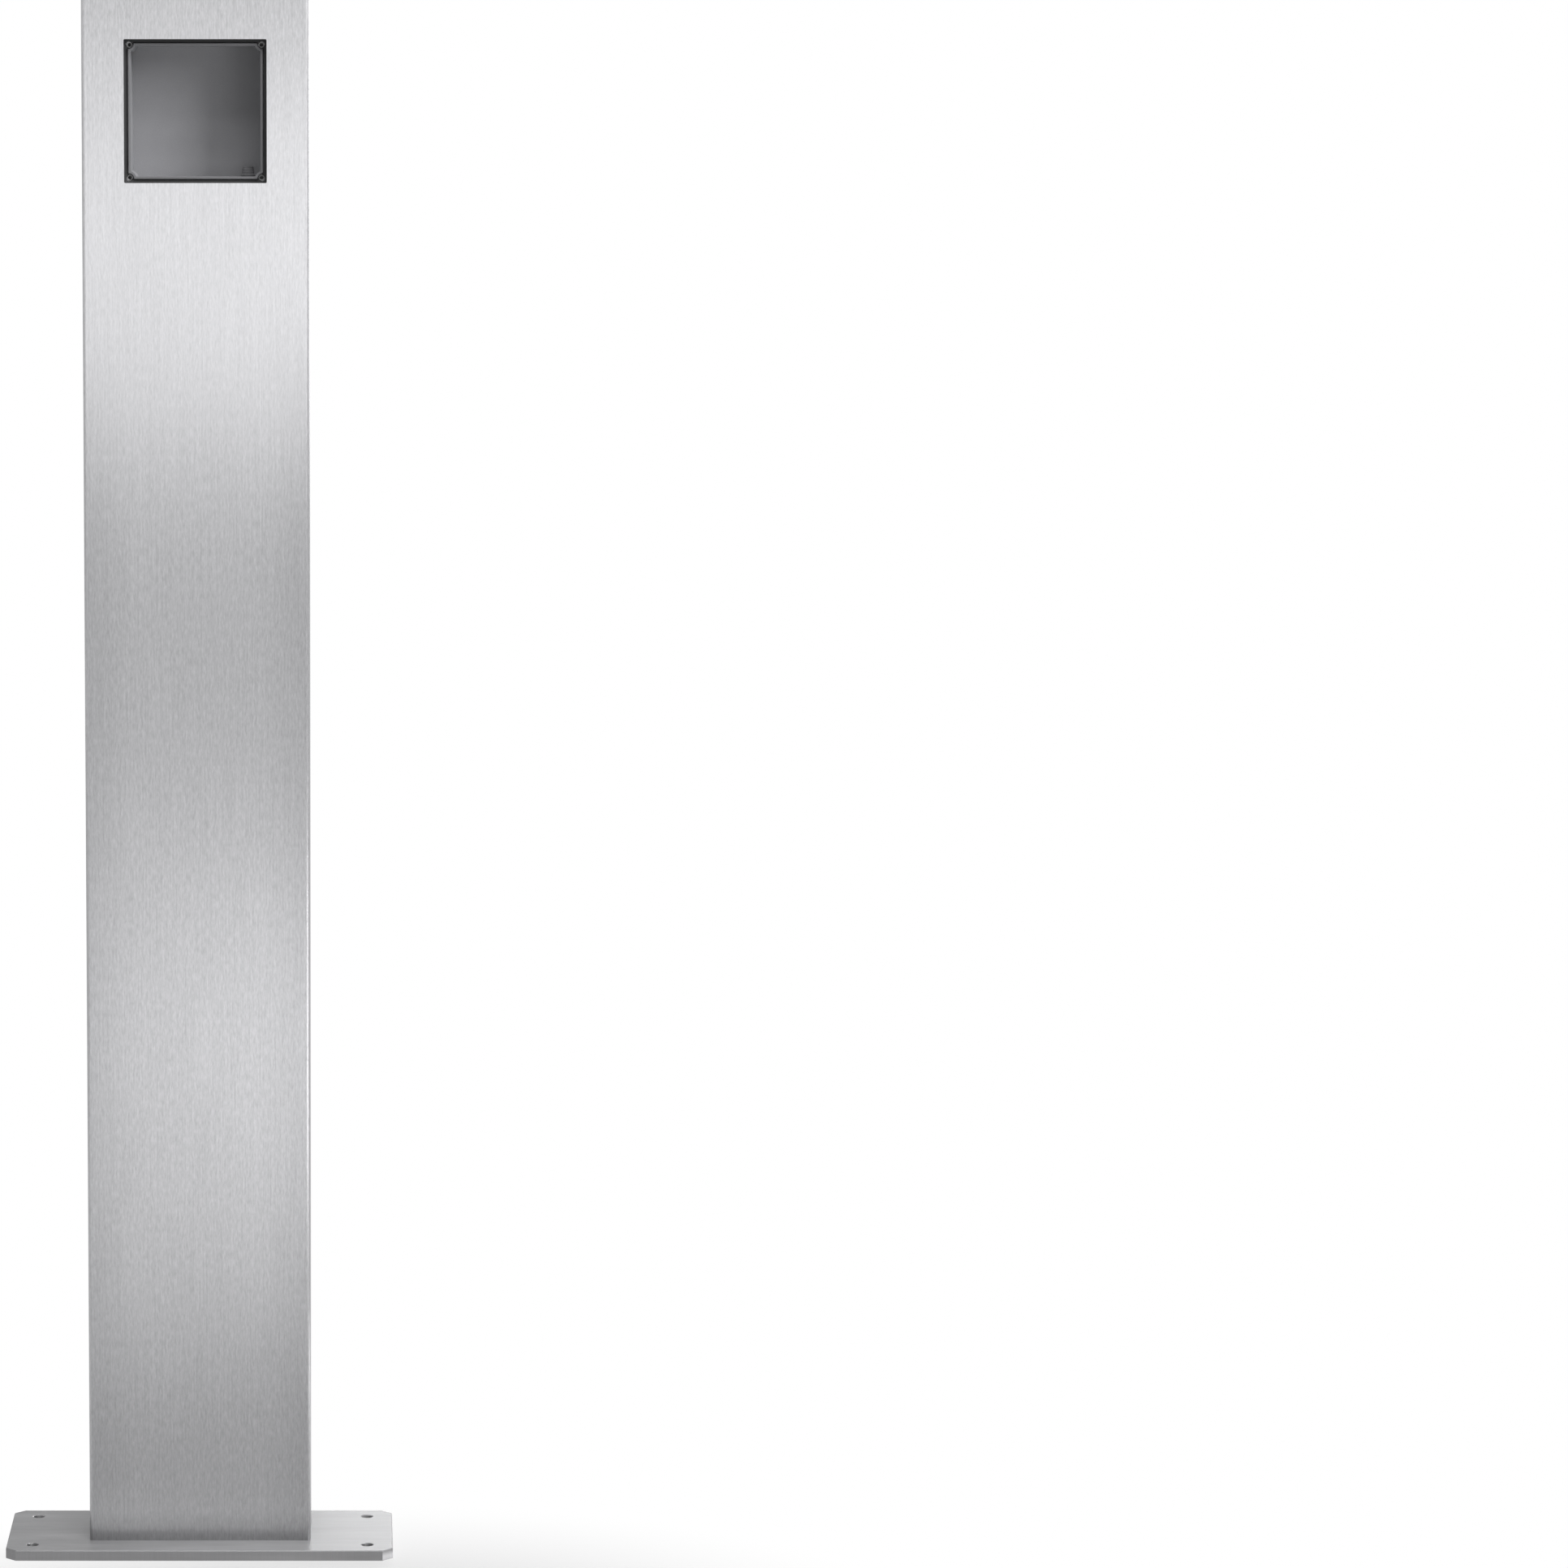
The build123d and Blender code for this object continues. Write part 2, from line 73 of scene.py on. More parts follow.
def add(tree, kind, settings=(), inputs=(), links=()):
    """Adds one node: settings are its properties, inputs its fixed values, links the sockets that feed it."""
    node = tree.nodes.new(kind)
    for name, value in dict(settings).items():
        setattr(node, name, value)
    for name, value in dict(inputs).items():
        node.inputs[name].default_value = value
    for name, source in dict(links).items():
        tree.links.new(source, node.inputs[name])
    return node


def maths(tree, operation, *values):
    """The result of one Math node. Each value is a number or a socket that feeds it."""
    node = add(tree, "ShaderNodeMath", {"operation": operation})
    for socket, value in zip(node.inputs, values):
        if isinstance(value, bpy.types.NodeSocket):
            tree.links.new(value, socket)
        else:
            socket.default_value = value
    return node.outputs[0]


def smooth(tree, value, low, high, start=0.0, end=1.0):
    """A smooth step: start up to low, end from high on, and the share s^2 (3 - 2 s) of the way between them."""
    return add(tree, "ShaderNodeMapRange", {"interpolation_type": "SMOOTHSTEP"},
               inputs={"From Min": low, "From Max": high, "To Min": start, "To Max": end},
               links={"Value": value}).outputs[0]


def new_material(name):
    """A material with an empty node tree, and the place of each point on the object in metres."""
    material = bpy.data.materials.new(name)
    material.use_nodes = True
    tree = material.node_tree
    tree.nodes.clear()
    return material, tree, add(tree, "ShaderNodeTexCoord").outputs["Object"]


print("mid grey #808080 in linear light", round(linear("#808080")[0], 3))

# %% [markdown]
# ## The camera
#
# The camera stands a little to the right of the post, with the lens about level with the window. In the photograph
# the uprights are perfectly parallel, which takes a lens that is shifted far down. Here that shift is kept small and a
# tilt of a few degrees does the rest, so that the same camera can also be carried round the object. From 4 m away the
# tilt narrows the foot by about 3 percent. The shift sideways sets the post at the left of the frame.

# %% Camera
CAMERA_PLACE = (0.125, -4.0, 1.09)
CAMERA_TILT_DOWN = 6.492
SHIFT = (0.27, -0.03)
LENS = 119.8
SENSOR = 36.0

camera_data = bpy.data.cameras.new("camera")
camera_data.lens = LENS
camera_data.sensor_width = SENSOR
camera_data.shift_x, camera_data.shift_y = SHIFT
camera = bpy.data.objects.new("camera", camera_data)
camera.location = CAMERA_PLACE
camera.rotation_euler = (math.radians(90 - CAMERA_TILT_DOWN), 0, 0)
bpy.context.scene.collection.objects.link(camera)
bpy.context.scene.camera = camera
bpy.context.scene.view_settings.view_transform = "Standard"
print("view angle", round(math.degrees(2 * math.atan(SENSOR / 2 / LENS)), 1), "degrees")

# %% [markdown]
# ## The white room
#
# Brushed metal is a mirror that has been scratched, so its picture is mostly a picture of the room. The room here is
# white all round. It shows as plain white to the eye and in reflections, and it lights matt surfaces more softly, so
# that lamps still shape the inside of the box.

# %% World
AMBIENT = 0.1


def shown_share(tree):
    """1 for rays that see a thing directly, in a reflection or through glass, and 0 for the rays that light it."""
    path = add(tree, "ShaderNodeLightPath").outputs
    seen = maths(tree, "MAXIMUM", path["Is Camera Ray"], path["Is Glossy Ray"])
    return maths(tree, "MAXIMUM", seen, path["Is Transmission Ray"])


world = bpy.data.worlds.new("white_room")
bpy.context.scene.world = world
world.use_nodes = True
tree = world.node_tree
tree.nodes.clear()
strength = maths(tree, "MULTIPLY_ADD", shown_share(tree), 1 - AMBIENT, AMBIENT)
room = add(tree, "ShaderNodeBackground", inputs={"Color": linear("#ffffff")}, links={"Strength": strength})
add(tree, "ShaderNodeOutputWorld", links={"Surface": room.outputs[0]})
print("the room lights matt surfaces at", AMBIENT, "and shows at 1.0")

# %% [markdown]
# The floor is a wide disc of pale board. Near the post it is an ordinary matt surface, so it takes the post's shadow
# and gives the steel something darker to mirror at its foot. Further out it melts into the white room, so there is no
# horizon line. The melting follows Object coordinates, so it stays on the floor whichever way the camera looks.

# %% Floor
FLOOR_RADIUS = 14.0
MATT_MIDDLE = (0.12, -0.40, 0.0)
MATT_UNTIL, WHITE_FROM = 0.18, 0.52


def disc(radius, rings, spokes):
    """A flat disc: ring i of n has the radius R (i/n)^2, so the rings are fine near the middle."""
    radii = radius * (np.arange(1, rings + 1) / rings) ** 2
    angles = np.linspace(0, 2 * math.pi, spokes, endpoint=False)
    flat = np.stack([np.outer(radii, np.cos(angles)), np.outer(radii, np.sin(angles))], -1).reshape(-1, 2)
    ids = 1 + np.arange(rings * spokes).reshape(rings, spokes)
    turned = np.roll(ids, -1, axis=1)
    fan = np.stack([np.zeros(spokes, int), ids[0], turned[0]], -1).tolist()
    quads = np.stack([ids[:-1], ids[1:], turned[1:], turned[:-1]], -1).reshape(-1, 4).tolist()
    mesh = bpy.data.meshes.new("floor")
    mesh.from_pydata([(0, 0, 0)] + np.column_stack([flat, np.zeros(len(flat))]).tolist(), [], fan + quads)
    return mesh


floor = bpy.data.objects.new("floor", disc(FLOOR_RADIUS, rings=40, spokes=96))
bpy.context.scene.collection.objects.link(floor)
pale_board, tree, place = new_material("pale_matt_board")
reach = add(tree, "ShaderNodeVectorMath", {"operation": "DISTANCE"}, inputs={1: MATT_MIDDLE}, links={0: place})
fade = smooth(tree, reach.outputs["Value"], MATT_UNTIL, WHITE_FROM)
melt = maths(tree, "MULTIPLY", fade, shown_share(tree))
matt = add(tree, "ShaderNodeBsdfDiffuse", inputs={"Color": linear("#cfcfcf")})
white = add(tree, "ShaderNodeEmission", inputs={"Color": linear("#ffffff"), "Strength": 1.0})
mixed = add(tree, "ShaderNodeMixShader", links={0: melt, 1: matt.outputs[0], 2: white.outputs[0]})
add(tree, "ShaderNodeOutputMaterial", links={"Surface": mixed.outputs[0]})
floor.data.materials.append(pale_board)
print("floor", FLOOR_RADIUS, "m, matt to", MATT_UNTIL, "m and white from", WHITE_FROM, "m")

# %% [markdown]
# ## The lamps
#
# Two wide, weak soft boxes stand in front of the post. The scratches in the steel lie upright and smear a reflection
# sideways, so each box shows as a pale band right across the face: one below the window and one at knee height, with
# a darker stretch of plain room between them. The key lamp stands high on the right and reaches into the moulded box,
# whose right side stays in the shade of the window's edge. A small lamp overhead fills the foot plate from above, and
# two lamps behind the post lift the back half of the plate and the rear panel. The low one wears a honeycomb grid,
# which keeps its beam on the plate, because the rear panel would mirror it as one burnt-out patch. A last small lamp
# with such a grid lies low on the right, where the plate's cut corner mirrors it towards the lens as a pale facet.

# %% Lamps
LAMPS = {
    "front_high": {"place": (0.35, -1.20, 0.98), "aim": (0.35, 0.0, 0.98), "size": (1.5, 0.38), "watts": 2.25},
    "front_low": {"place": (0.80, -1.20, 0.17), "aim": (0.0, 0.0, 0.30), "size": (0.5, 0.32), "watts": 3.6},
    "key": {"place": (1.90, -1.32, 2.15), "aim": (0.0, 0.0, 1.10), "size": (1.1, 1.5), "watts": 66.0},
    "top": {"place": (0.10, -0.75, 2.30), "aim": (0.0, -0.1, 0.0), "size": (0.8, 0.5), "watts": 12.0},
    "back_right": {"place": (0.30, 1.10, 0.36), "aim": (0.10, 0.0, 0.0), "size": (0.5, 0.4), "watts": 0.56,
                   "beam": 44.0},
    "side_low": {"place": (0.62, -0.10, 0.05), "aim": (0.15, -0.055, 0.004), "size": (0.16, 0.07), "watts": 0.065,
                 "beam": 40.0},
    "back_fill": {"place": (1.50, 1.90, 1.30), "aim": (0.0, 0.0, 0.6), "size": (1.2, 1.2), "watts": 14.0},
}


def soft_box(name, place, aim, size, watts, beam=180.0):
    """A rectangular area lamp at a place, turned to face a point. A beam under 180 degrees is a honeycomb grid."""
    data = bpy.data.lights.new(name, "AREA")
    data.shape = "RECTANGLE"
    data.size, data.size_y = size
    data.energy = watts
    data.spread = math.radians(beam)
    lamp = bpy.data.objects.new(name, data)
    lamp.location = place
    x, y, z = np.array(aim) - np.array(place)
    lamp.rotation_euler = (math.pi / 2 + math.atan2(z, math.hypot(x, y)), 0, math.atan2(y, x) - math.pi / 2)
    lamp.visible_camera = False
    bpy.context.scene.collection.objects.link(lamp)


for name, values in LAMPS.items():
    soft_box(name, **values)
print("lamps in watts", {name: values["watts"] for name, values in LAMPS.items()})

# %% [markdown]
# ## Brushed stainless sheet
#
# The shell, the lid and the back panel are stainless sheet, brushed along its length with a fine belt. Metal has no
# colour of its own under the shine: the base colour is the tint of the reflection, a neutral grey with a trace of
# blue. A belt leaves upright scratches some hundredths of a millimetre wide, too fine for any picture of a whole
# post, so they are drawn as short dashes about 1.3 mm wide and 7 mm long, which is what such steel shows from a few
# steps away. Scratched metal spreads light across the scratches, and the shader's anisotropy does that. The spread
# runs round the Z axis on the upright faces. The lid is level, so there it runs straight, or it would look dished.
#
# Some of the photograph's shading is put into the tint. Below the window the tint falls by up to 11 percent towards
# both sides, because the photographed face darkens to the left all the way down, and to the right above and below the
# pale band at knee height. Just above the plate the face has a dark band, and there the tint falls by 12 percent.
# It is painted shade, like the darker sides. Dust in the scratches could be the cause, but the photograph doesn't
# tell.

# %% Brushed sheet
GRAIN = 1.3 * MM
DASH = 7.0 * MM
STREAK = 90.0 * MM
CLOUD = 120.0 * MM
PAINTED_SIDE_SHADE = 0.11
SIDE_FROM, SIDE_FULL = 40.0 * MM, 88.0 * MM
LOSS_UNTIL, EVEN_FROM = 0.78, 1.0
PAINTED_FOOT_SHADE = 0.12
DARK_UNTIL, PLAIN_FROM = 20.0 * MM, 34.0 * MM


def pattern(tree, place, size, detail=3.0, roughness=0.6, kind="ShaderNodeTexNoise"):
    """Noise whose marks measure size = (x, y, z) in metres: coordinates are divided by those sizes first."""
    scaled = add(tree, "ShaderNodeMapping", inputs={"Scale": [1 / s for s in size]}, links={"Vector": place})
    return add(tree, kind, inputs={"Scale": 1.0, "Detail": detail, "Roughness": roughness},
               links={"Vector": scaled.outputs[0]}).outputs["Fac"]


def spread(tree, value, low, high):
    """Moves a noise value, which stays mostly between 0.3 and 0.7, to a range."""
    return add(tree, "ShaderNodeMapRange", {"clamp": False},
               inputs={"From Min": 0.3, "From Max": 0.7, "To Min": low, "To Max": high},
               links={"Value": value}).outputs[0]


def tinted(tree, value, colour, swing):
    """A colour that swings by a share either side of its middle value."""
    mix = add(tree, "ShaderNodeMix", {"data_type": "RGBA"}, links={0: spread(tree, value, 0.0, 1.0)})
    mix.inputs[6].default_value = linear(colour, 1 - swing)
    mix.inputs[7].default_value = linear(colour, 1 + swing)
    return mix.outputs[2]


def shaded(tree, tint, place, axis, low, high, share):
    """A tint times a factor that rises smoothly from a share, up to low on an axis, to 1 from high on."""
    level = add(tree, "ShaderNodeSeparateXYZ", links={0: place}).outputs[axis]
    factor = smooth(tree, level, low, high, start=share)
    return add(tree, "ShaderNodeVectorMath", {"operation": "SCALE"}, links={0: tint, "Scale": factor}).outputs[0]


def upright_share(tree):
    """1 on upright faces and 0 on level ones: 1 - |z part of the surface's normal|."""
    normal = add(tree, "ShaderNodeTexCoord").outputs["Normal"]
    rise = add(tree, "ShaderNodeSeparateXYZ", links={0: normal}).outputs["Z"]
    return maths(tree, "SUBTRACT", 1.0, maths(tree, "ABSOLUTE", rise))


def metal_surface(tree, tint, gloss, height, depth, anisotropic=0.0, tangent=None):
    """The metal shader: a tint, a gloss, a bump of a given depth and a smear of the reflection along a tangent."""
    bump = add(tree, "ShaderNodeBump", inputs={"Strength": 1.0, "Distance": depth}, links={"Height": height})
    links = {"Base Color": tint, "Roughness": gloss, "Normal": bump.outputs[0]}
    if tangent:
        links["Tangent"] = tangent
    metal = add(tree, "ShaderNodeBsdfPrincipled", inputs={"Metallic": 1.0, "Anisotropic": anisotropic}, links=links)
    add(tree, "ShaderNodeOutputMaterial", links={"Surface": metal.outputs[0]})


# Brushed sheet: short dashes under long faint streaks, cloudy gloss, painted shade at the sides and above the foot.
sheet, tree, place = new_material("brushed_stainless_sheet")
dashes = pattern(tree, place, (GRAIN, GRAIN, DASH), detail=2.0, roughness=0.75)
streaks = pattern(tree, place, (GRAIN, GRAIN, STREAK), detail=2.0)
clouds = pattern(tree, place, (CLOUD, CLOUD, 2 * CLOUD), detail=2.0)
marks = maths(tree, "ADD", spread(tree, dashes, 0.12, 0.48), spread(tree, streaks, 0.12, 0.28))
gloss = maths(tree, "ADD", spread(tree, dashes, 0.32, 0.38), spread(tree, clouds, -0.012, 0.012))
parts = add(tree, "ShaderNodeSeparateXYZ", links={0: place}).outputs
at_sides = smooth(tree, maths(tree, "ABSOLUTE", parts["X"]), SIDE_FROM, SIDE_FULL, end=PAINTED_SIDE_SHADE)
below_window = smooth(tree, parts["Z"], LOSS_UNTIL, EVEN_FROM, start=1.0, end=0.0)
kept = maths(tree, "SUBTRACT", 1.0, maths(tree, "MULTIPLY", at_sides, below_window))
tint = add(tree, "ShaderNodeVectorMath", {"operation": "SCALE"},
           links={0: tinted(tree, marks, "#b3b3b5", 0.14), "Scale": kept}).outputs[0]
tint = shaded(tree, tint, place, "Z", DARK_UNTIL, PLAIN_FROM, 1 - PAINTED_FOOT_SHADE)
about_z, about_x = (
    add(tree, "ShaderNodeTangent", {"direction_type": "RADIAL", "axis": axis}).outputs[0] for axis in "ZX")
grain_way = add(tree, "ShaderNodeMix", {"data_type": "VECTOR"}, links={0: upright_share(tree), 4: about_x, 5: about_z})
metal_surface(tree, tint, gloss, dashes, depth=0.005 * MM, anisotropic=0.85, tangent=grain_way.outputs[1])
print("dashes", GRAIN / MM, "by", DASH / MM, "mm, streaks", STREAK / MM, "mm long")

# %% [markdown]
# ## The other steels
#
# The foot is 8 mm plate, ground flat and cut out with a laser. The cut leaves close upright lines on its edges, so
# the finish changes where the surface turns from level to upright. The angles and hooks are bent from sheet as it
# leaves the mill, which is smoother and cloudier. Bolts and nuts are pressed and tumbled, and brightest of all.

# %% Plate, mill sheet and fasteners
GRIND, GRIND_LENGTH = 1.1 * MM, 30 * MM
BAND, BAND_LENGTH = 16 * MM, 150 * MM
CUT_LINE, CUT_LENGTH = 1.1 * MM, 60 * MM
ROLL_MARK, ROLL_LENGTH = 9 * MM, 14 * MM
SPECKLE = 1.0 * MM
SCUFF = 1.6 * MM

# Ground plate: a fine lengthwise grain under soft lengthwise bands, and faint cut lines down the edges.
ground_plate, tree, place = new_material("ground_stainless_plate")
grind = pattern(tree, place, (GRIND_LENGTH, GRIND, GRIND), detail=2.0, roughness=0.7)
bands = pattern(tree, place, (BAND_LENGTH, BAND, BAND))
cut = spread(tree, pattern(tree, place, (CUT_LINE, CUT_LINE, CUT_LENGTH), detail=1.0), 0.44, 0.56)
lined = add(tree, "ShaderNodeMix", {"data_type": "FLOAT"}, links={0: upright_share(tree), 2: grind, 3: cut}).outputs[0]
marks = maths(tree, "ADD", spread(tree, lined, 0.12, 0.38), spread(tree, bands, 0.10, 0.40))
gloss = maths(tree, "ADD", spread(tree, lined, 0.47, 0.53), spread(tree, bands, -0.02, 0.02))
across_grain = add(tree, "ShaderNodeTangent", {"direction_type": "RADIAL", "axis": "X"}).outputs[0]
metal_surface(tree, tinted(tree, marks, "#868687", 0.14), gloss, lined, depth=0.015 * MM, anisotropic=0.8,
              tangent=across_grain)

# Mill sheet: no grain that the eye can follow, only clouds left by the rolls.
mill_sheet, tree, place = new_material("mill_finish_stainless")
clouds = pattern(tree, place, (ROLL_MARK, ROLL_MARK, ROLL_LENGTH), detail=4.0)
speckle = pattern(tree, place, (SPECKLE,) * 3)
metal_surface(tree, tinted(tree, clouds, "#b4b4b3", 0.07), spread(tree, clouds, 0.28, 0.36), speckle,
              depth=0.006 * MM)

# Bright fasteners: cold-formed and tumbled, so smoother, with faint scuffs from the tools that tightened them.
fastener, tree, place = new_material("bright_stainless_fastener")
scuffs = pattern(tree, place, (SCUFF,) * 3, detail=4.0, roughness=0.7)
metal_surface(tree, tinted(tree, scuffs, "#c4c3c0", 0.08), spread(tree, scuffs, 0.2, 0.32), scuffs,
              depth=0.01 * MM)
print("metals", [m.name for m in (sheet, ground_plate, mill_sheet, fastener)])

# %% [markdown]
# ## Plastics, rubber and foam
#
# These are dielectrics: a coloured body under a clear skin that reflects some 4 percent of the light. What sets them
# apart is the skin. The box has the even sparkle of a spark-eroded mould, the glass-filled bushes show short pale
# fibres, nylon is tighter and darker, rubber is dull with a dusty bloom, and foam is full of tiny closed bubbles.

# %% Plastics, rubber and foam


def moulded(name, colour, roughness, grain, swing, depth, ior, patch, painted_shade=None):
    """A dielectric with grain-sized bumps. Its tint and gloss drift from patch to patch.

    A painted shade, if there is one, is (axis, low, high, share): the part up to low on that axis is darker by that
    factor.
    """
    material, tree, place = new_material(name)
    fine = pattern(tree, place, (grain,) * 3, detail=2.0, roughness=0.7)
    broad = pattern(tree, place, (patch,) * 3, detail=3.0)
    marks = maths(tree, "ADD", spread(tree, fine, 0.1, 0.35), spread(tree, broad, 0.15, 0.4))
    fine_gloss = spread(tree, fine, roughness - 0.05, roughness + 0.03)
    gloss = maths(tree, "ADD", fine_gloss, spread(tree, broad, -0.03, 0.04))
    bump = add(tree, "ShaderNodeBump", inputs={"Strength": 1.0, "Distance": depth}, links={"Height": fine})
    tint = tinted(tree, marks, colour, swing)
    if painted_shade:
        tint = shaded(tree, tint, place, *painted_shade)
    skin = add(tree, "ShaderNodeBsdfPrincipled", inputs={"IOR": ior},
               links={"Base Color": tint, "Roughness": gloss, "Normal": bump.outputs[0]})
    add(tree, "ShaderNodeOutputMaterial", links={"Surface": skin.outputs[0]})
    return material


# Moulded box: mid grey polypropylene with a spark texture, drawn 0.9 mm wide because the real 0.1 mm pits would not
# show. Its front edge carries painted shade: only the tint is darker there, where the rim sits back behind the window's
# edge.
box_grey = moulded("spark_textured_grey_polypropylene", "#8b8b8e", roughness=0.6, grain=0.9 * MM, swing=0.07,
                   depth=0.03 * MM, ior=1.49, patch=30 * MM, painted_shade=("Y", -22.8 * MM, -21.4 * MM, 0.6))
# Glass-filled polymer: paler than the box, with fibres that break the surface as small pale flecks.
bush_grey = moulded("glass_filled_grey_polymer", "#b2b2b3", roughness=0.45, grain=0.35 * MM, swing=0.14,
                    depth=0.015 * MM, ior=1.56, patch=3 * MM)
# Nylon: near black, and smooth enough to draw a soft highlight along each edge.
nylon = moulded("black_nylon", "#2a2a2c", roughness=0.42, grain=0.5 * MM, swing=0.12,
                depth=0.01 * MM, ior=1.53, patch=8 * MM)
# EPDM: a black that never looks deep, because wax blooms to its surface in pale clouds.
epdm = moulded("black_epdm_rubber", "#2b2b2c", roughness=0.78, grain=0.7 * MM, swing=0.28,
               depth=0.02 * MM, ior=1.52, patch=12 * MM)
# Grey rubber: the same dull skin on a softer, paler mix, with talc left on it from the mould.
grey_rubber = moulded("mid_grey_rubber", "#6e6e70", roughness=0.85, grain=0.6 * MM, swing=0.2,
                      depth=0.02 * MM, ior=1.5, patch=6 * MM)
# Foam: each bubble is a small pit, so light is lost in it and no highlight forms.
foam = moulded("closed_cell_black_foam", "#232324", roughness=0.92, grain=0.45 * MM, swing=0.4,
               depth=0.12 * MM, ior=1.5, patch=15 * MM)
print("moulded", [m.name for m in (box_grey, bush_grey, nylon, epdm, grey_rubber, foam)])

# %% [markdown]
# ## Dressing the pieces that keep their own shape
#
# The record gives every piece a slot, and each slot wears one of the finishes above.

# %% Slots
WEARS = {
    "brushed_stainless": sheet, "stainless_plate": ground_plate, "mill_stainless": mill_sheet,
    "stainless_fastener": fastener, "bush_grey": bush_grey, "moulded_grey": box_grey, "nylon": nylon,
    "black_rubber": epdm, "grey_rubber": grey_rubber, "black_foam": foam,
}
SLOT_OF = {row["node"]: row["material_slot"] for row in frame["record"]["subparts"]}
for name, slot in SLOT_OF.items():
    nodes[name].data.materials.clear()
    nodes[name].data.materials.append(WEARS[slot])
print("dressed", len(SLOT_OF), "nodes in", len(set(SLOT_OF.values())), "finishes")

# %% [markdown]
# ## Turned pieces from one function
#
# Screws, studs, bushes and rubber rings are all turned shapes. Each is a grid of points: one row per height, one
# column per angle. A row's radius may change with the angle, which makes a hexagon, and a thread is a ridge whose
# height depends on the angle. The rows run up the outside, and for a bored piece down the inside as well.

# %% Grid of a turned piece
COLUMNS = 48
ANGLES = np.linspace(0, 2 * math.pi, COLUMNS, endpoint=False)


def stacked(*parts):
    """Rows of a turned piece. A part is (heights, radii), numbers or arrays over rows and angles, in millimetres."""
    heights = [np.atleast_2d(np.asarray(h, float).reshape(-1, 1) if np.ndim(h) < 2 else h) for h, _ in parts]
    radii = [np.broadcast_to(r, (len(h), COLUMNS)) for h, (_, r) in zip(heights, parts)]
    return np.vstack([h + np.zeros(COLUMNS) for h in heights]), np.vstack(radii)


def hexagon(flats):
    """Radius of a hexagon at each angle a: half its flats over cos(a mod 60 - 30), in degrees."""
    return flats / 2 / np.cos(np.mod(ANGLES, math.pi / 3) - math.pi / 6)


def groove(heights, pitch):
    """Depth share of a thread: clip(1.25 |2 frac(h/p - a/2pi) - 1| - 0.12, 0, 1), 0 on the crest and 1 in the root."""
    turn = np.mod(np.asarray(heights)[:, None] / pitch - ANGLES / (2 * math.pi), 1)
    return np.clip(1.25 * np.abs(2 * turn - 1) - 0.12, 0, 1)


def thread(radius, pitch, low, high):
    """Rows of an outside thread: r = R - 0.61 p groove, faded in over one pitch and cut to a cone at the free end."""
    heights = np.linspace(low, high, round(8 * (high - low) / pitch) + 1)
    start = np.clip((heights - low) / pitch, 0, 1)[:, None]
    cut = radius - 0.61 * pitch * groove(heights, pitch) * start
    return heights, np.minimum(cut, radius - 0.61 * pitch + (high - heights)[:, None])


def turned(rows, start, direction, bored=False):
    """Points and faces of a turned piece that starts at a point, in millimetres, and runs along an axis.

    p = start + h w + r (cos a u + sin a v), where w is the direction and u, v are square to it.
    """
    heights, radii = rows
    w = np.array(direction, float)
    u = np.cross((0, 1, 0) if w[2] else (0, 0, 1), w)
    around = np.cos(ANGLES)[:, None] * u + np.sin(ANGLES)[:, None] * np.cross(w, u)
    points = np.array(start) + heights[..., None] * w + radii[..., None] * around
    ids = np.arange(radii.size).reshape(radii.shape)
    return points.reshape(-1, 3) * MM, grid_faces(ids, bored)


def grid_faces(ids, looped):
    """Quads between neighbouring rows and columns; the rows close into a loop or end in two flat faces."""
    low = ids if looped else ids[:-1]
    high = np.roll(ids, -1, axis=0)[:len(low)]
    quads = np.stack([low, np.roll(low, -1, 1), np.roll(high, -1, 1), high], -1).reshape(-1, 4).tolist()
    return quads if looped else quads + [ids[0, ::-1].tolist(), ids[-1].tolist()]


def piece(node, shells, sharp=28.0):
    """One object made of several closed shells. It rides on the post and stands for the node it refines.

    Edges that turn by more than the sharp angle, in degrees, stay crisp. All others are shaded smooth.
    """
    starts = np.cumsum([0] + [len(points) for points, _ in shells])
    faces = [[i + first for i in face] for first, (_, shell) in zip(starts, shells) for face in shell]
    mesh = bpy.data.meshes.new("fine_" + node)
    mesh.from_pydata(np.vstack([points for points, _ in shells]).tolist(), [], faces)
    mesh.shade_smooth()
    mesh.set_sharp_from_angle(angle=math.radians(sharp))
    mesh.materials.append(WEARS[SLOT_OF[node]])
    made = bpy.data.objects.new("fine_" + node, mesh)
    bpy.context.scene.collection.objects.link(made)
    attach(made, "post")
    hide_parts(node)
    print(made.name, len(shells), "shells", len(faces), "faces")


print("grid of", COLUMNS, "columns; a hexagon of 10 mm flats reaches", round(float(hexagon(10).max()), 2), "mm")

# %% [markdown]
# ## Screws and studs
#
# A metric thread is a ridge that climbs one pitch in each turn. The coarse pitches are standard: 0.7 mm for M4, 0.8
# for M5, 1.0 for M6 and 1.25 for M8. The studs are welded to the sheet, so they start with a short plain shank. The
# foot screws are countersunk with a hexagon socket, and the two screws low on the back keep a pin in their socket,
# so that an ordinary key does not fit.

# %% Threads
# Places in millimetres from the middle of the foot plate's underside: the inner side walls, the earth studs, the
# window's middle, and then the weld studs, the box studs, the foot screws and the panel screws. The box studs stand
# that far either side of the window's middle.
WALL = 84.0
EARTH_HEIGHT = 150.0
WINDOW_HEIGHT = 1114.0
WELD_HEIGHT, WELD_Y = 48.0, (-12.0, 12.0)
SHEET_BACK, BOX_X, BOX_Z = -28.0, (-58.5, 58.5), (-40.0, 40.0)
HEAD_BOTTOM, FOOT_X, FOOT_Y = 0.2, (-58.0, 58.0), (-13.0, 13.0)
HEAD_BACK, PANEL_X, PANEL_SCREW_HEIGHT = 33.05, (-75.0, 75.0), 24.0

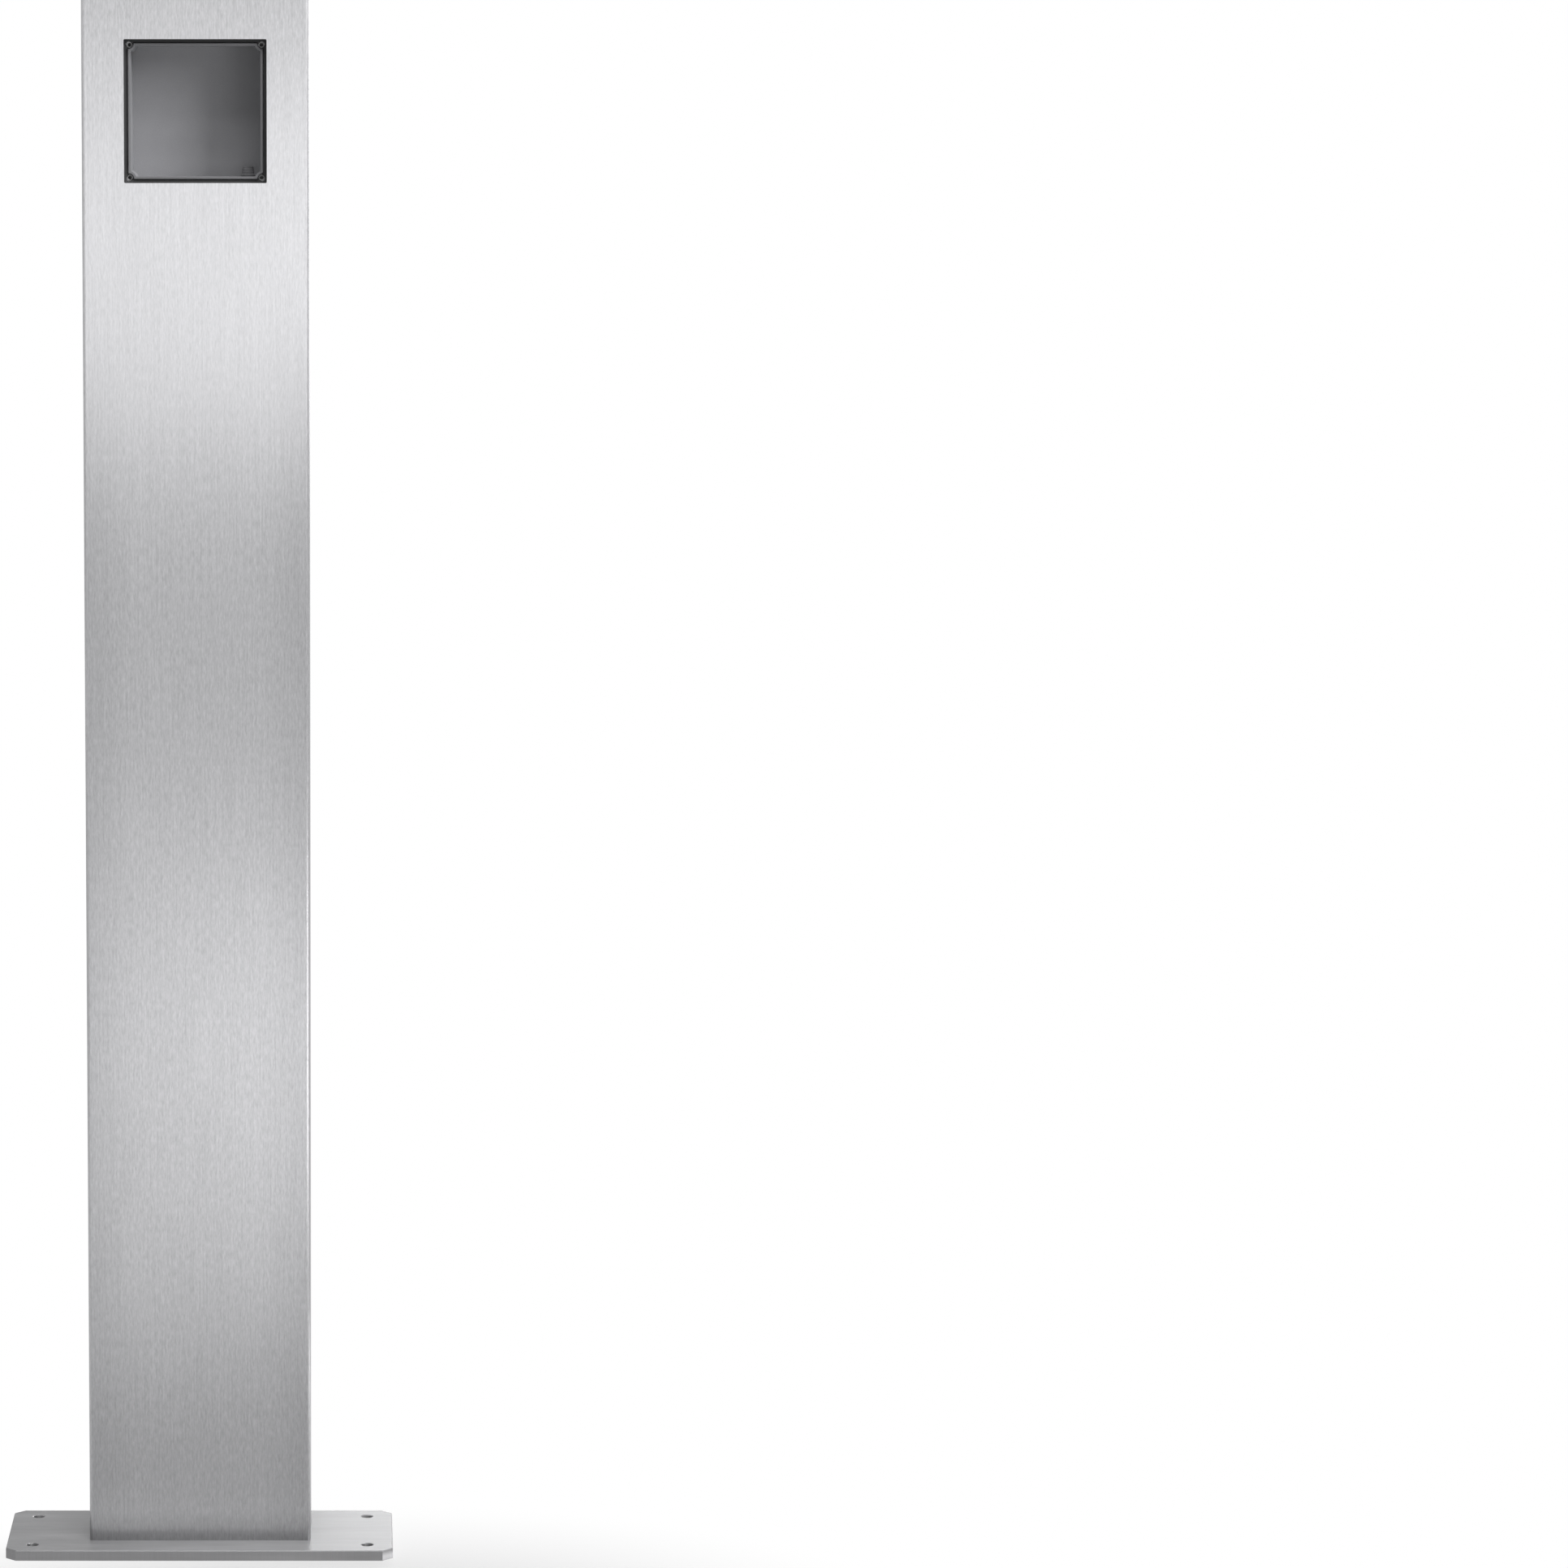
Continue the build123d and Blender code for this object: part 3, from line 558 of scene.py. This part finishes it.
stud_m6 = stacked((0, 3.0), (1.2, 3.0), thread(3.0, pitch=1.0, low=1.3, high=20.0))
stud_m4 = stacked((0, 2.0), (1.0, 2.0), thread(2.0, pitch=0.7, low=1.1, high=17.0))
piece("foot_weld_studs", [
    turned(stud_m6, (side * WALL, y, WELD_HEIGHT), (-side, 0, 0)) for side in (-1, 1) for y in WELD_Y])
piece("earth_studs", [turned(stud_m6, (side * WALL, 0, EARTH_HEIGHT), (-side, 0, 0)) for side in (-1, 1)])
piece("box_studs", [turned(stud_m4, (x, SHEET_BACK, WINDOW_HEIGHT + z), (0, 1, 0)) for x in BOX_X for z in BOX_Z])

# A socket in a flat head, the cone under the head, and the shank.
foot_screw = stacked(
    (2.5, hexagon(5.0)), (0, hexagon(5.0)), (0, 7.6), (0.15, 7.85), (0.4, 7.6), (4.0, 4.0), (4.8, 4.0),
    thread(4.0, pitch=1.25, low=4.9, high=24.0))
piece("foot_plate_screws", [turned(foot_screw, (x, y, HEAD_BOTTOM), (0, 0, 1)) for x in FOOT_X for y in FOOT_Y])

# A socket in a domed head, and the shank. The pin stands in the socket.
bend = np.radians(np.linspace(0, 90, 9))
button_screw = stacked(
    (1.6, hexagon(3.0)), (0.12, hexagon(3.0)), (0, hexagon(3.3)),
    (2.2 - 2.2 * np.cos(bend), (2.55 + 2.2 * np.sin(bend))[:, None]), (2.75, 4.75), (2.75, 2.5),
    thread(2.5, pitch=0.8, low=2.9, high=15.05))
pin = stacked((0.2, 0.45), (0.3, 0.6), (1.7, 0.6))
piece("cover_screws", [
    turned(rows, (x, HEAD_BACK, PANEL_SCREW_HEIGHT), (0, -1, 0)) for x in PANEL_X for rows in (button_screw, pin)])

# %% [markdown]
# The bushes take the module's M3 screws, so the thread is inside them. Their mouth is opened with a small cone. The
# earth washers are the toothed kind: each tooth is twisted so that it bites through the oxide into bare metal.

# %% Bushes and toothed washers
BUSH_REACH = 50.0
BUSH_FACE = -20.0

inside = np.linspace(6.0, 0.35, 89)
bush = stacked(
    (0, 1.6), (0, 2.15), (0.15, 2.3), (2.4, 2.3), (2.4, 1.9), (3.6, 1.9), (3.6, 2.3), (5.85, 2.3), (6.0, 2.15),
    (inside, 1.25 + 0.28 * groove(inside, 0.5)))
piece("module_inserts", [
    turned(bush, (x, BUSH_FACE, WINDOW_HEIGHT + z), (0, 1, 0), bored=True)
    for x in (-BUSH_REACH, BUSH_REACH) for z in (-BUSH_REACH, BUSH_REACH)])

tooth = np.arange(COLUMNS) % 4
rim = np.where(tooth < 2, 6.0, 4.9)
twist = np.where(tooth == 0, 0.35, np.where(tooth == 1, -0.35, 0.0))[None, :]
toothed = stacked((0.45, 3.2), (0.45, 4.7), (0.45 + twist, rim), (1.15 + twist, rim), (1.15, 4.7), (1.15, 3.2))
piece("earth_washers", [
    turned(toothed, (side * WALL, 0, EARTH_HEIGHT), (-side, 0, 0), bored=True) for side in (-1, 1)])

# %% [markdown]
# ## Rubber and foam
#
# Rubber edges are never sharp: they leave the mould with a radius, and they bulge where they are pressed. The cable
# grommet is turned like the rest. Its lip rolls over the edge of the hole and is widest just above the plate. The
# cone in the floor of the box has a round lip above the floor and shallow ribs up its taper,
# r = 5 - 0.8 t - 0.2 sin^2(3 pi t) mm, where a knife would trim it to the cable.

# %% Cable grommet and cable cone
# The grommet's bore, the groove round the plate, the rolled lip and the mouth.
roll = np.radians(np.linspace(-35, 90, 9))
lip = np.radians(np.linspace(0, 90, 7))
grommet = stacked(
    (1.4, 16.0), (1.0, 16.4), (1.0, 21.5), (1.5, 21.95), (8.0, 21.95),
    (9.2 + 1.3 * np.sin(roll), (25.7 + 1.3 * np.cos(roll))[:, None]), (10.35, 21.0),
    (9.0 + 1.3 * np.cos(lip), (17.3 - 1.3 * np.sin(lip))[:, None]))
piece("cable_grommet", [turned(grommet, (0, 0, 0), (0, 0, 1), bored=True)])

# The cone's collar under the floor, its neck, the round lip, the ribbed taper and the tip.
CONE_PLACE = (39.0, 8.0, 1062.75)
bulge = np.radians(np.linspace(-80, 80, 9))
t = np.linspace(0, 1, 25)
cable_cone = stacked(
    (-1.5, 3.05), (-1.8, 3.35), (-1.8, 5.8), (-1.4, 6.2), (-0.4, 6.2), (0, 5.9), (0, 5.0), (2.1, 5.0),
    (2.85 + 0.75 * np.sin(bulge), (4.85 + 0.75 * np.cos(bulge))[:, None]),
    (3.6 + 5.7 * t, (5 - 0.8 * t - 0.2 * np.sin(3 * math.pi * t) ** 2)[:, None]),
    (9.5, 4.05), (9.6, 3.85), (9.6, 3.35), (9.3, 3.05))
piece("cable_cone", [turned(cable_cone, CONE_PLACE, (0, 0, 1), bored=True)])

# %% [markdown]
# The window's gasket is a square frame, so its rings are squares instead of circles. In polar form a square of half
# width a has the radius a over the larger of |cos| and |sin|. The thin liner reaches in to the box and follows the
# round notch in each of its corners, where it leaves room for the bush. A ray from the window's centre meets a circle
# of radius R about c at t = c.d -+ sqrt((c.d)^2 - c.c + R^2), and that gives the notch.

# %% Window gasket
# The liner's half width, the middle and radius of its corner notches, and the radius kept free round each bush.
LINER = 51.4
NOTCH_MIDDLE, NOTCH = 51.25, 4.25
BUSH_ROOM = 2.8
RAYS = np.linspace(0, 2 * math.pi, 1440, endpoint=False)
along = np.abs(np.stack([np.cos(RAYS), np.sin(RAYS)]))


def square(half):
    """Radius of a square of a given half width along each ray."""
    return half / along.max(axis=0)


def crossing(corner, radius):
    """Where each ray enters and leaves the circle about (corner, corner); infinite where it misses."""
    reach = corner * along.sum(axis=0)
    room = reach ** 2 - 2 * corner ** 2 + radius ** 2
    half_chord = np.sqrt(np.maximum(room, 0))
    return np.where(room > 0, [reach - half_chord, reach + half_chord], np.inf)


liner = np.minimum(square(LINER), crossing(NOTCH_MIDDLE, NOTCH)[0])
hole_in, hole_out = crossing(BUSH_REACH, BUSH_ROOM)
liner = np.where(hole_in <= liner, np.maximum(liner, np.where(np.isinf(hole_out), 0, hole_out)), liner)
# Depth and radius round the section: the liner, the step in front of it, the front face and the outer edge.
gasket_rows = [
    (-20.0, liner + 0.3), (-20.35, liner), (-21.15, liner), (-21.5, liner + 0.35), (-21.5, square(53.9)),
    (-21.9, square(54.45)), (-26.8, square(54.5)), (-27.7, square(54.8)), (-28.0, square(55.4)),
    (-28.0, square(61.4)), (-27.4, square(62.0)), (-20.6, square(62.0)), (-20.0, square(61.4))]
depths = np.array([depth for depth, _ in gasket_rows])[:, None] + np.zeros(len(RAYS))
reaches = np.stack([radius for _, radius in gasket_rows])
points = np.stack([reaches * np.cos(RAYS), depths, WINDOW_HEIGHT + reaches * np.sin(RAYS)], -1).reshape(-1, 3) * MM
piece("box_gasket", [(points, grid_faces(np.arange(depths.size).reshape(depths.shape), looped=True))], sharp=50.0)

# %% [markdown]
# The foam seal runs up one lip, across the lid's flange and down the other lip, with mitred corners. Its section is
# flat where it is glued and crowned where the panel presses it, y = h (1 - 0.6 |s|^3), with s from -1 to 1 across it.

# %% Foam seal
# The section's height and half width, then how far out, how high up and how far down its middle line runs. It is
# glued to the back of the lips.
SEAL_STEPS = 12
SEAL_HEIGHT, SEAL_HALF = 0.9, 2.25
SEAL_MIDDLE, SEAL_TOP, SEAL_LOW = 70.55, 1191.75, 34.0
LIP_FACE = 27.0

across = np.concatenate([np.linspace(-1, 1, SEAL_STEPS), np.linspace(1, -1, SEAL_STEPS)[1:-1]])
crown = np.where(np.arange(len(across)) < SEAL_STEPS, SEAL_HEIGHT * (1 - 0.6 * np.abs(across) ** 3), 0.0)
width = SEAL_MIDDLE + SEAL_HALF * across
corner = SEAL_TOP + SEAL_HALF * across
low_end = np.full_like(across, SEAL_LOW)
stations = [(-width, low_end), (-width, corner), (width, corner), (width, low_end)]
seal_points = np.stack([np.stack([x, LIP_FACE + crown, z], -1) for x, z in stations])
seal_ids = np.arange(seal_points[..., 0].size).reshape(seal_points.shape[:2])
piece("cover_seal", [(seal_points.reshape(-1, 3) * MM, grid_faces(seal_ids, looped=False))])
